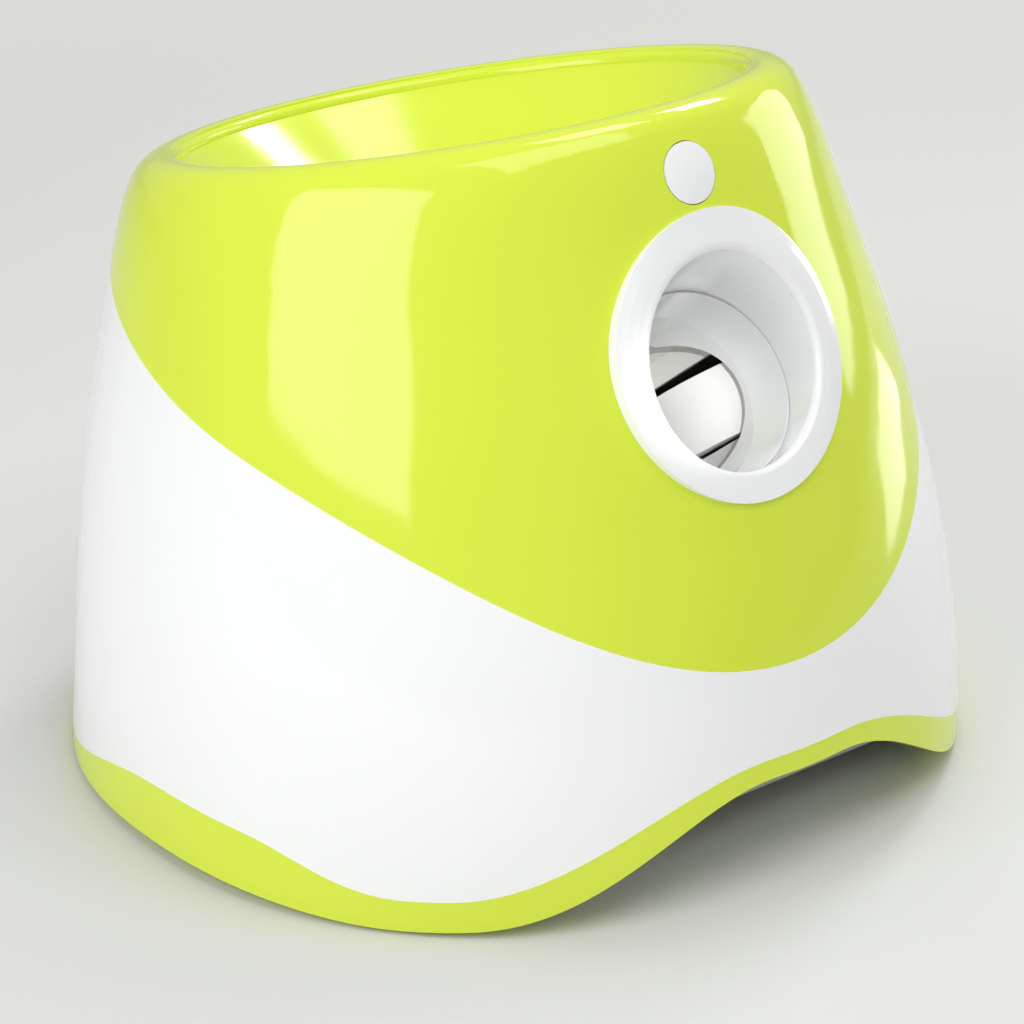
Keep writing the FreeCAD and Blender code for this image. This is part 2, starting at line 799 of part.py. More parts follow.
def button_cap():
    back = button_length
    face = -button_proud
    body = rod(button_radius, (0, face, 0), (0, back, 0))
    dome_radius = (button_radius ** 2 + button_dome ** 2) / (2 * button_dome)
    dome = Part.makeSphere(dome_radius, Vector(0, dome_radius + face - button_dome, 0))
    dome = dome.common(rod(button_radius, (0, face - button_dome - overshoot, 0), (0, face, 0)))
    flange = rod(button_radius + button_flange, (0, back - button_flange_thick, 0), (0, back, 0))
    hollow = rod(button_radius - button_wall, (0, face + button_face, 0), (0, back + overshoot, 0))
    stem = rod(button_stem_radius, (0, face, 0), (0, back, 0))
    return button_part(join([join([body, dome, flange]).cut(hollow), stem]))


def button_plunger():
    return button_part(rod(plunger_radius, (0, button_length, 0),
                           (0, button_length + plunger_height, 0)))


tact_front = button_length + plunger_height + tact_gap
tact_back = tact_front + tact_height


def button_switch():
    body = box((-tact_half, tact_front, -tact_half), (tact_half, tact_back, tact_half))
    return button_part(body.cut(rod(plunger_radius + slip, (0, tact_front - overshoot, 0),
                                    (0, tact_front + button_travel + 2 * slip, 0))))


def button_board():
    return button_part(rod(button_radius + button_flange + slip, (0, tact_back, 0),
                           (0, tact_back + button_board_thick, 0)))


def button_tube():
    """Guide tube behind the shell, part of the upper shell, and its bore."""
    bore = button_radius + button_flange + slip
    tube = rod(bore + button_tube_wall, (0, 0, 0), (0, button_tube_length, 0))
    return button_part(tube), button_part(rod(bore, (0, -button_reach, 0), (0, button_reach, 0)))


# ---------------------------------------------------------------- shells
def hopper_opening():
    """Hole in the top, with the rounded inner edge of the rim."""
    slope = rim_lip_drop / (rim_lip - rim_roll)
    foot = lip_round * (math.hypot(1, slope) - slope)
    top = 90 - math.degrees(math.atan(slope))

    def oval(lift):
        drop = foot - lip_round * math.sin(math.radians(lift))
        grow = lip_round * (1 - math.cos(math.radians(lift)))
        return closed_curve([lip_point(9 * i, drop, grow) for i in range(40)])

    edge = Part.makeLoft([oval(top * i / 3) for i in range(4)], True, False)
    below_edge = Part.Face(oval(0)).extrude(Vector(0, 0, -through / 2))
    above_edge = Part.Face(oval(top)).extrude(Vector(0, 0, through / 2))
    return edge.fuse(below_edge).fuse(above_edge)


def upper_shell():
    shell = outer_skin.cut(inner_skin).common(above_bib).cut(hopper_opening())
    lap = inner_skin.cut(skin(shell_wall + skirt_wall))
    lap = lap.common(bib_side(True, -skirt_lap)).cut(bib_side(True, skirt_lap))
    tube, bore = button_tube()
    tube = tube.common(inner_skin).cut(bore)
    body = shell.fuse(lap).fuse(tube)
    body = body.cut(ring_bore()).cut(launch_part(barrel_envelope(slip)))
    return body.cut(button_part(rod(button_radius + slip, (0, -button_reach, 0),
                                    (0, button_reach, 0))))


def lower_shell():
    shell = outer_skin.cut(inner_skin).cut(above_bib).cut(below(trim_height_at))
    posts = []
    for degrees in boss_angles:
        x, y = plan_point(degrees, boss_reach)
        post = rod(boss_radius, (x, y, pan_low + pan_thick), (x, y, boss_top)).common(outer_skin)
        posts += [post, mirrored(post)]
    body = join([shell] + posts)
    for degrees in boss_angles:
        x, y = plan_point(degrees, boss_reach)
        for way in (1, -1):
            body = body.cut(rod(screw_radius, (way * x, y, 0),
                                (way * x, y, pan_low + housing_screw_length)))
    cup_y = rear_wall_y() - inlet_cup_depth
    cup = rod(inlet_cup_radius + inlet_wall, (0, cup_y - inlet_wall, inlet_z),
              (0, through, inlet_z)).common(outer_skin)
    body = body.fuse(cup)
    body = body.cut(rod(inlet_cup_radius, (0, cup_y, inlet_z), (0, through, inlet_z)))
    return body.cut(rod(inlet_hole, (0, cup_y - inlet_wall - overshoot, inlet_z),
                        (0, through, inlet_z)))


def rear_wall_y():
    return wall_point(180, climb=inlet_z / (rim_point(180)[2] - rim_roll)).y


def base_trim():
    wall = outer_skin.cut(inner_skin).common(below(trim_height_at))
    foot = outer_skin.cut(skin(trim_foot_width)).common(below(foot_top_at))
    return wall.fuse(foot).cut(below(foot_height_at))


# ---------------------------------------------------------------- base pan
bay_half_x = (cells_in_row * cell_length) / 2 + contact_room
bay_half_y = (cell_pitch * (cell_rows - 1)) / 2 + cell_radius + box_clear
door_half_x = bay_half_x + door_lap
door_half_y = bay_half_y + door_lap


def arch_end():
    """X where the arch in the pan meets its flat floor."""
    rise = pan_low - ground_gap - pan_thick
    share = math.acos(2 * rise / front_arch_height - 1) / math.pi
    return front_arch_flat + (front_arch_half - front_arch_flat) * share


def arch_curve(lift, y):
    """The foot line's front arch, raised by lift, as one edge."""
    end = arch_end()
    steps = [-end + 2 * end * i / 32 for i in range(33)]
    curve = Part.BSplineCurve()
    curve.interpolate(Points=[Vector(x, y, ground_gap + front_arch(x) + lift) for x in steps])
    return curve.toShape()


def chain(points):
    return [Part.makeLine(points[i], points[i + 1]) for i in range(len(points) - 1)]


def pan_floor():
    """Flat floor with an arched front, closed behind the arch by a wall."""
    front = body_widest_y - body_front_reach - overshoot
    back = front + arch_depth
    top, end, far = pan_low + pan_thick, arch_end(), body_half_width + overshoot
    left = chain([Vector(-end, front, pan_low), Vector(-far, front, pan_low),
                  Vector(-far, front, top), Vector(-end, front, top)])
    right = chain([Vector(end, front, top), Vector(far, front, top),
                   Vector(far, front, pan_low), Vector(end, front, pan_low)])
    section = [arch_curve(pan_thick, front), *left, arch_curve(2 * pan_thick, front), *right]
    slab = Part.Face(Part.Wire(Part.__sortEdges__(section))).extrude(Vector(0, back - front, 0))
    foot = chain([Vector(end, back, top), Vector(end, back, pan_low),
                  Vector(-end, back, pan_low), Vector(-end, back, top)])
    wall = Part.Face(Part.Wire(Part.__sortEdges__([arch_curve(2 * pan_thick, back), *foot])))
    wall = wall.extrude(Vector(0, pan_thick, 0))
    rear = box((-far, back, pan_low), (far, through, top))
    return join([slab, rear, wall]).common(inner_skin)


def foot_spots():
    spots = []
    for degrees in foot_angles:
        x, y = plan_point(degrees, foot_reach)
        spots += [(x, y), (-x, y)]
    return spots


def standoff_spots():
    return [(sx * (board_half_x - board_inset), board_y + sy * (board_half_y - board_inset))
            for sx in (-1, 1) for sy in (-1, 1)]


def stand_screw_spots():
    middle = (stand_front + stand_rear) / 2
    reach = stand_foot_half - stand_screw_inset
    return [(-reach, middle), (reach, middle)]


def base_pan():
    top = pan_low + pan_thick
    frame = box((-door_half_x - bay_rim_x, battery_y - door_half_y - bay_rim_y, pan_low),
                (door_half_x + bay_rim_x, battery_y + door_half_y + door_travel + bay_rim_y,
                 pan_low + bay_frame))
    pads = [rod(foot_pad_radius, (x, y, foot_height - foot_recess), (x, y, top))
            for x, y in foot_spots()]
    posts = [rod(standoff_radius, (x, y, pan_low), (x, y, board_height))
             for x, y in standoff_spots()]
    body = join([pan_floor(), frame] + pads + posts)
    for x, y in foot_spots():
        body = body.cut(rod(foot_radius, (x, y, 0), (x, y, foot_height)))
    for x, y in standoff_spots():
        body = body.cut(rod(board_screw_radius, (x, y, board_height - board_screw_bite - overshoot),
                            (x, y, board_height + overshoot)))
    for x, y in stand_screw_spots():
        body = body.cut(rod(screw_radius, (x, y, 0), (x, y, top + overshoot)))
    for degrees in boss_angles:
        x, y = plan_point(degrees, boss_reach)
        for way in (1, -1):
            body = body.cut(rod(screw_radius, (way * x, y, 0), (way * x, y, top + overshoot)))
    bay = box((-bay_half_x, battery_y - bay_half_y, 0),
              (bay_half_x, battery_y + bay_half_y, pan_low + bay_frame + overshoot))
    recess = box((-door_half_x - door_gap, battery_y - door_half_y - door_gap, 0),
                 (door_half_x + door_gap, battery_y + door_half_y + door_travel + door_gap,
                  pan_low + door_thick + door_gap))
    groove = box((-door_half_x - door_tab - door_gap, battery_y - door_half_y - door_gap,
                  pan_low + door_thick - door_tab_thick - door_gap),
                 (door_half_x + door_tab + door_gap,
                  battery_y + door_half_y + door_travel + door_gap,
                  pan_low + door_thick + door_gap))
    return body.cut(bay).cut(recess).cut(groove)


def battery_door():
    plate = box((-door_half_x, battery_y - door_half_y, pan_low),
                (door_half_x, battery_y + door_half_y, pan_low + door_thick))
    tabs = box((-door_half_x - door_tab, battery_y - door_half_y,
                pan_low + door_thick - door_tab_thick),
               (door_half_x + door_tab, battery_y + door_half_y, pan_low + door_thick))
    body = join([plate, tabs])
    for i in range(door_grips):
        y = battery_y + door_half_y - door_grip_inset - door_grip_pitch * i
        body = body.cut(box((-door_grip_half, y, 0),
                            (door_grip_half, y + door_grip_groove, pan_low + door_grip_depth)))
    return body


def battery_box():
    low = pan_low + bay_frame
    high = cell_low + 2 * cell_radius + box_clear
    outer = box((-bay_half_x - box_wall, battery_y - bay_half_y - box_wall, low),
                (bay_half_x + box_wall, battery_y + bay_half_y + box_wall, high + box_wall))
    inner = box((-bay_half_x, battery_y - bay_half_y, 0),
                (bay_half_x, battery_y + bay_half_y, high))
    return outer.cut(inner)


def cell_row_y(row):
    return battery_y + (row - (cell_rows - 1) / 2.0) * cell_pitch


def battery_cells():
    cells = []
    z = cell_low + cell_radius
    for row in range(cell_rows):
        for i in range(cells_in_row):
            start = -cells_in_row * cell_length / 2 + i * cell_length
            y = cell_row_y(row)
            can = rod(cell_radius, (start, y, z), (start + cell_length - cell_nub, y, z))
            nub = rod(cell_nub_radius, (start + cell_length - cell_nub, y, z),
                      (start + cell_length, y, z))
            cell = join([can, nub])
            if row % 2:
                cell = mirrored(cell)
            cells.append(cell)
    return cells


def contact_coil(y, z):
    helix = Part.makeHelix((contact_room - contact_thick) / coil_turns,
                           contact_room - contact_thick - 2 * coil_wire, coil_radius)
    wire = Part.Wire(helix)
    first = wire.Edges[0].FirstParameter
    circle = Part.makeCircle(coil_wire, wire.Edges[0].valueAt(first), wire.Edges[0].tangentAt(first))
    coil = wire.makePipeShell([Part.Wire(circle)], True, True)
    return placed(coil, Placement(Vector(-bay_half_x + contact_thick + coil_wire, y, z),
                                  Rotation(Vector(0, 1, 0), 90)))


def battery_contacts():
    pieces = []
    z = cell_low + cell_radius
    for row in range(cell_rows):
        y = cell_row_y(row)
        plate = box((bay_half_x - contact_thick, y - contact_half, z - contact_half),
                    (bay_half_x, y + contact_half, z + contact_half))
        nub = rod(contact_nub_radius, (cells_in_row * cell_length / 2, y, z),
                  (bay_half_x - contact_thick, y, z))
        back = box((-bay_half_x, y - contact_half, z - contact_half),
                   (-bay_half_x + contact_thick, y + contact_half, z + contact_half))
        for piece in (join([plate, nub]), back, contact_coil(y, z)):
            pieces.append(mirrored(piece) if row % 2 else piece)
    return pieces


# ---------------------------------------------------------------- inside
def launcher_stand():
    top = pan_low + pan_thick
    ribs = [box((side * stand_half - stand_rib / 2, stand_front, top),
                (side * stand_half + stand_rib / 2, stand_rear, stand_top)) for side in (-1, 1)]
    web = box((-stand_half, (stand_front + stand_rear) / 2 - stand_rib / 2, top),
              (stand_half, (stand_front + stand_rear) / 2 + stand_rib / 2, stand_top))
    foot = box((-stand_foot_half, stand_front, top), (stand_foot_half, stand_rear, top + stand_foot))
    body = join(ribs + [web, foot])
    floor = channel_floor - channel_wall
    above = launch_part(box((-stand_reach, -stand_reach, floor), (stand_reach, stand_reach, stand_reach)))
    body = body.cut(above)
    for x, y in stand_screw_spots():
        body = body.cut(rod(screw_radius, (x, y, 0), (x, y, through)))
    return body


def screw(x, y, head_z, tip_z):
    """Pan-head screw driven along Z; the head lies on the side away from the tip."""
    way = 1 if tip_z > head_z else -1
    head = rod(screw_head_radius, (x, y, head_z - way * screw_head_height), (x, y, head_z))
    return join([head, rod(screw_radius, (x, y, head_z), (x, y, tip_z))])


def housing_screws():
    screws = []
    for degrees in boss_angles:
        x, y = plan_point(degrees, boss_reach)
        for way in (1, -1):
            screws.append(screw(way * x, y, pan_low, pan_low + housing_screw_length))
    return screws


def stand_screws():
    return [screw(x, y, pan_low, pan_low + pan_thick + stand_foot) for x, y in stand_screw_spots()]


def rubber_feet():
    return [rod(foot_radius, (x, y, 0), (x, y, foot_height)) for x, y in foot_spots()]


def hopper():
    """Bowl from the rim's lip down to the throat, which lies square to the drop tube."""
    turns = [360.0 * i / 32 for i in range(32)]
    tilt = Rotation(Vector(1, 0, 0), -launch_tilt)
    throat_centre = launch.multVec(Vector(0, pocket_depth, drop_top))

    def bowl(grow):
        rim = [lip_point(a, shell_wall, grow) for a in turns]
        throat, waist = [], []
        for a, edge in zip(turns, rim):
            spoke = Vector(-math.sin(math.radians(a)), -math.cos(math.radians(a)), 0)
            neck = throat_centre + tilt.multVec(spoke * (barrel_bore + grow))
            height = edge.z + (neck.z - edge.z) * hopper_waist_share
            flat = neck + (edge - neck) * (1 - hopper_waist)
            throat.append(neck)
            waist.append(Vector(flat.x, flat.y, height))
        return Part.makeLoft([closed_curve(s) for s in (rim, waist, throat)], True, False)

    seat = closed_curve([lip_point(a, shell_wall, hopper_flange) for a in turns])
    flange = Part.Face(seat).extrude(Vector(0, 0, -hopper_wall))
    return bowl(hopper_wall).fuse(flange).cut(bowl(0.0))


def control_board():
    body = box((-board_half_x, board_y - board_half_y, board_height),
               (board_half_x, board_y + board_half_y, board_height + board_thick))
    for x, y in standoff_spots():
        body = body.cut(rod(board_screw_radius + slip, (x, y, 0), (x, y, through)))
    return body


def board_parts():
    """Two relays and three sockets on the left, three capacitors and a chip on the right."""
    top = board_height + board_thick
    front = board_y - board_half_y
    parts = []
    for i in range(2):
        x = relay_left + relay_pitch * i
        parts.append(box((x, board_y - relay_y / 2, top), (x + relay_x, board_y + relay_y / 2,
                                                          top + relay_z)))
    for i in range(3):
        spot = (can_first + can_pitch * i, board_y + board_inset + can_radius)
        parts.append(rod(can_radius, spot + (top,), spot + (top + can_height,)))
    parts.append(box((can_first, board_y - chip_y - board_inset, top),
                     (can_first + chip_x, board_y - board_inset, top + chip_z)))
    for i in range(3):
        x = socket_left + socket_pitch * i
        parts.append(box((x, front + overshoot, top), (x + socket_x, front + overshoot + socket_y,
                                                       top + socket_z)))
    return parts


def board_screws():
    top = board_height + board_thick
    return [join([rod(board_screw_radius, (x, y, board_height - board_screw_bite), (x, y, top)),
                  rod(board_screw_head, (x, y, top), (x, y, top + board_screw_head_height))])
            for x, y in standoff_spots()]


def power_jack():
    face = rear_wall_y() - inlet_cup_depth
    inner = face - inlet_wall
    nose = rod(jack_radius, (0, inner, inlet_z), (0, face, inlet_z))
    body = box((-jack_half, inner - jack_length, inlet_z - jack_half),
               (jack_half, inner, inlet_z + jack_half))
    bore = rod(jack_bore, (0, face - jack_bore_depth, inlet_z), (0, face + overshoot, inlet_z))
    pin = rod(jack_pin, (0, face - jack_bore_depth, inlet_z), (0, face - jack_pin_short, inlet_z))
    return join([join([nose, body]).cut(bore), pin])


# ---------------------------------------------------------------- build
write("upper_shell", upper_shell())
write("lower_shell", lower_shell())
write("base_trim", base_trim())
write("base_pan", base_pan())
write("outlet_ring", outlet_ring())
write("hopper", hopper())
write("rubber_feet", *rubber_feet())
write("housing_screws", *housing_screws())
write("button_cap", button_cap())
write("button_plunger", button_plunger())
write("button_switch", button_switch())
write("button_board", button_board())
write("launch_barrel", launch_barrel())
write("ball_channel", ball_channel())
write("drop_tube", drop_tube())
write("trip_lever", trip_lever())
write("trip_pin", trip_pin())
write("trip_switch", trip_switch())
for name, side in (("left", -1), ("right", 1)):
    write("wheel_tyre_" + name, wheel_tyre(side))
    write("wheel_hub_" + name, wheel_hub(side))
    write("motor_bracket_" + name, motor_bracket(side))
    write("motor_can_" + name, motor_can(side))
    write("motor_end_cap_" + name, motor_end_cap(side))
    write("motor_rotor_" + name, motor_rotor(side))
    write("motor_shaft_" + name, motor_shaft(side))
write("motor_screws", *motor_screws())
write("bracket_screws", *bracket_screws())
write("launcher_stand", launcher_stand())
write("stand_screws", *stand_screws())
write("battery_door", battery_door())
write("battery_box", battery_box())
write("battery_cells", *battery_cells())
write("battery_contacts", *battery_contacts())
write("control_board", control_board())
write("board_parts", *board_parts())
write("board_screws", *board_screws())
write("power_jack", power_jack())
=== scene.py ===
# Ball launcher for small dogs: finishes, floor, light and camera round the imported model
import math

import bpy
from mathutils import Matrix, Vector

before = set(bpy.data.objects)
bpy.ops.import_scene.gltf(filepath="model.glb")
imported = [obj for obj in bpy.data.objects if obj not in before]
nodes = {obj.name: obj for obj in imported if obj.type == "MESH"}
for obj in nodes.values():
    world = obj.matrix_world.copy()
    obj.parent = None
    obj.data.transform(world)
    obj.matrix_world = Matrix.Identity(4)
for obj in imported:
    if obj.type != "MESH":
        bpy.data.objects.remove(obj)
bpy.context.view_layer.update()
print("model loaded:", len(nodes), "nodes")


# small helpers: colours from hex, texture scales from millimetres, nodes and materials
def toLinear(hexColour):
    parts = [int(hexColour[i:i + 2], 16) / 255 for i in (1, 3, 5)]
    red, green, blue = [p / 12.92 if p <= 0.04045 else ((p + 0.055) / 1.055) ** 2.4 for p in parts]
    return red, green, blue, 1.0


def perMillimetre(size):
    return 1000.0 / size  # texture scale whose features are that many millimetres wide


def addNode(tree, kind, inputs=None, **settings):
    node = tree.nodes.new(kind)
    for key, value in settings.items():
        setattr(node, key, value)
    for key, value in (inputs or {}).items():
        if isinstance(value, bpy.types.NodeSocket):
            tree.links.new(value, node.inputs[key])
        else:
            node.inputs[key].default_value = value
    return node


def newMaterial(name):
    material = bpy.data.materials.new(name)
    material.use_nodes = True
    material.node_tree.nodes.clear()
    return material, material.node_tree


def closeMaterial(tree, shader):
    addNode(tree, "ShaderNodeOutputMaterial", {"Surface": shader.outputs[0]})


def dress(material, *names):
    for name in names:
        slots = nodes[name].data.materials
        slots.clear()
        slots.append(material)


# a stand is given by what it looks at, the angles to it from there and its distance in metres;
# azimuth 0 is in front of the launcher, and it turns towards the positive x axis
def placeAt(placed, target, stand):
    a, e = math.radians(stand["azimuth"]), math.radians(stand["elevation"])
    away = Vector((math.sin(a) * math.cos(e), -math.cos(a) * math.cos(e), math.sin(e)))
    placed.location = Vector(target) + away * stand["distance"]
    placed.rotation_euler = away.to_track_quat("Z", "Y").to_euler()
    bpy.context.scene.collection.objects.link(placed)


# the camera stands a little above the launcher and to the left of its front
cameraSet = {"azimuth": -39.6, "elevation": 24.1, "distance": 1.2495,
             "target": (0.0, 0.00085, 0.0738), "lens": 135.86, "sensor": 36.0, "farClip": 50.0}


def placeCamera():
    data = bpy.data.cameras.new("camera")
    data.lens = cameraSet["lens"]
    data.sensor_width = cameraSet["sensor"]
    data.clip_end = cameraSet["farClip"]
    camera = bpy.data.objects.new("camera", data)
    placeAt(camera, cameraSet["target"], cameraSet)
    bpy.context.scene.camera = camera


placeCamera()
print("camera placed")


# the floor is lit, and takes the shadow, up to shadowReach metres from the middle; from there to
# paleReach it fades into the plain pale colour that the world shows too, so no horizon is seen
studioSet = {"floorHex": "#DCDDDB", "floorSize": 8.0, "floorRoughness": 0.9, "floorSpecular": 0.1,
             "worldStrength": 0.44, "paleStrength": 1.0, "shadowReach": 0.34, "paleReach": 0.95}
# what the lamps are aimed at
body, funnel, muzzle = (0.0, 0.0, 0.15), (0.0, 0.09, 0.175), (0.004, -0.08, 0.139)
# each soft box: its aim and stand, its size in metres and its brightness
lampSet = {
    "leftBox": {"aim": body, "azimuth": -80, "elevation": 26, "distance": 1.4, "width": 1.14,
                "height": 0.86, "brightness": 3.2},
    "rightBox": {"aim": body, "azimuth": 86, "elevation": 9, "distance": 1.5, "width": 0.7,
                 "height": 0.56, "brightness": 2.6},
    "frontTopBox": {"aim": body, "azimuth": 6, "elevation": 64, "distance": 1.6, "width": 1.2,
                    "height": 0.9, "brightness": 2.3},
    "funnelStrip": {"aim": funnel, "azimuth": 107, "elevation": 41, "distance": 1.2,
                    "width": 0.3, "height": 0.2, "brightness": 15.0},
    "funnelBox": {"aim": funnel, "azimuth": 100, "elevation": 66, "distance": 1.2,
                  "width": 0.4, "height": 0.36, "brightness": 4.6},
}
# a glowing card lies face up on the floor at the right and brightens the low right flank
cardSet = {"aim": (0.065, -0.105, 0.115), "azimuth": 90, "elevation": -8.2, "distance": 0.8,
           "width": 0.5, "height": 0.34, "brightness": 2.4}
# a narrow spot beside the camera looks down the barrel
spotSet = {"aim": muzzle, "azimuth": -34, "elevation": 28, "distance": 1.3, "watts": 54.0,
           "cone": 2.6, "blend": 0.9, "radius": 0.006}


def layFloor():
    half = studioSet["floorSize"] / 2
    mesh = bpy.data.meshes.new("floor")
    mesh.from_pydata([(-half, -half, 0), (half, -half, 0), (half, half, 0), (-half, half, 0)], [],
                     [(0, 1, 2, 3)])
    floor = bpy.data.objects.new("floor", mesh)
    bpy.context.scene.collection.objects.link(floor)
    material, tree = newMaterial("mattStudioPaper")  # uncoated paper sweep: no gloss at all
    colour = toLinear(studioSet["floorHex"])
    paper = addNode(tree, "ShaderNodeBsdfPrincipled",
                    {"Base Color": colour, "Roughness": studioSet["floorRoughness"],
                     "Specular IOR Level": studioSet["floorSpecular"]})
    pale = addNode(tree, "ShaderNodeEmission", {"Color": colour,
                                                "Strength": studioSet["paleStrength"]})
    place = addNode(tree, "ShaderNodeTexCoord").outputs["Object"]
    away = addNode(tree, "ShaderNodeVectorMath", {0: place}, operation="LENGTH")
    fade = addNode(tree, "ShaderNodeMapRange", {"Value": away.outputs["Value"],
                                                "From Min": studioSet["shadowReach"],
                                                "From Max": studioSet["paleReach"]},
                   interpolation_type="SMOOTHSTEP")
    rays = addNode(tree, "ShaderNodeLightPath")
    seen = addNode(tree, "ShaderNodeMath", {0: fade.outputs["Result"],
                                            1: rays.outputs["Is Camera Ray"]}, operation="MULTIPLY")
    shader = addNode(tree, "ShaderNodeMixShader", {0: seen.outputs[0], 1: paper.outputs[0],
                                                   2: pale.outputs[0]})
    closeMaterial(tree, shader)
    mesh.materials.append(material)


def lightWorld():
    world = bpy.data.worlds.new("softRoom")
    bpy.context.scene.world = world
    world.use_nodes = True
    tree = world.node_tree
    tree.nodes.clear()
    room = addNode(tree, "ShaderNodeBackground", {"Color": (1.0, 1.0, 1.0, 1.0),
                                                  "Strength": studioSet["worldStrength"]})
    pale = addNode(tree, "ShaderNodeBackground", {"Color": toLinear(studioSet["floorHex"]),
                                                  "Strength": studioSet["paleStrength"]})
    rays = addNode(tree, "ShaderNodeLightPath")
    mixed = addNode(tree, "ShaderNodeMixShader", {0: rays.outputs["Is Camera Ray"],
                                                  1: room.outputs[0], 2: pale.outputs[0]})
    addNode(tree, "ShaderNodeOutputWorld", {"Surface": mixed.outputs[0]})


def placeLamp(name, kind, lamp):
    placed = bpy.data.objects.new(name, bpy.data.lights.new(name, kind))
    placeAt(placed, lamp["aim"], lamp)
    placed.visible_camera = False
    return placed


def sizeBox(data, box):
    data.shape = "RECTANGLE"
    data.size = box["width"]
    data.size_y = box["height"]
    data.energy = math.pi * box["brightness"] * box["width"] * box["height"]  # watts


def hangLamps():
    for name, box in lampSet.items():
        sizeBox(placeLamp(name, "AREA", box).data, box)
    card = placeLamp("floorCard", "AREA", cardSet)
    card.rotation_euler = (math.pi, 0.0, 0.0)
    sizeBox(card.data, cardSet)
    spot = placeLamp("barrelSpot", "SPOT", spotSet)
    spot.visible_glossy = False
    spot.data.energy = spotSet["watts"]
    spot.data.spot_size = math.radians(spotSet["cone"])
    spot.data.spot_blend = spotSet["blend"]
    spot.data.shadow_soft_size = spotSet["radius"]


layFloor()
lightWorld()
hangLamps()
bpy.context.scene.view_settings.view_transform = "Standard"
print("studio lit")


# what all moulded plastics share, in millimetres: flow is the distance over which the colour
# drifts along the melt's path, haze the width of duller patches, and the depths are those of the
# gloss tool's slow waviness and of the fine texture
mouldSet = {"flow": 70.0, "haze": 14.0, "peelDepth": 0.2, "grainDepth": 0.05}


def mouldedPlastic(name, finish):
    # injection-moulded: peel is the width of the tool's waves, grain that of its fine texture
    material, tree = newMaterial(name)
    place = addNode(tree, "ShaderNodeTexCoord").outputs["Object"]
    drift = addNode(tree, "ShaderNodeTexNoise", {"Vector": place, "Detail": 2.0,
                                                 "Scale": perMillimetre(mouldSet["flow"]),
                                                 "Roughness": 0.45})
    colour = addNode(tree, "ShaderNodeMix", {"Factor": drift.outputs["Fac"],
                                             "A": toLinear(finish["hex"]),
                                             "B": toLinear(finish["flowHex"])}, data_type="RGBA")
    haze = addNode(tree, "ShaderNodeTexNoise", {"Vector": place, "Detail": 5.0,
                                                "Scale": perMillimetre(mouldSet["haze"]),
                                                "Roughness": 0.6})
    rough = addNode(tree, "ShaderNodeMapRange", {"Value": haze.outputs["Fac"], "From Min": 0.3,
                                                 "From Max": 0.7, "To Min": finish["roughLow"],
                                                 "To Max": finish["roughHigh"]})
    peel = addNode(tree, "ShaderNodeTexNoise", {"Vector": place,
                                                "Scale": perMillimetre(finish["peel"]),
                                                "Detail": 1.0})
    slow = addNode(tree, "ShaderNodeBump", {"Height": peel.outputs["Fac"],
                                            "Strength": finish["peelStrength"],
                                            "Distance": mouldSet["peelDepth"] / 1000})
    grain = addNode(tree, "ShaderNodeTexNoise", {"Vector": place,
                                                 "Scale": perMillimetre(finish["grain"]),
                                                 "Detail": 3.0})
    fine = addNode(tree, "ShaderNodeBump", {"Height": grain.outputs["Fac"],
                                            "Strength": finish["grainStrength"],
                                            "Distance": mouldSet["grainDepth"] / 1000,
                                            "Normal": slow.outputs[0]})
    shader = addNode(tree, "ShaderNodeBsdfPrincipled",
                     {"Base Color": colour.outputs["Result"], "Roughness": rough.outputs[0],
                      "Normal": fine.outputs[0], "IOR": finish["ior"]})
    closeMaterial(tree, shader)
    return material


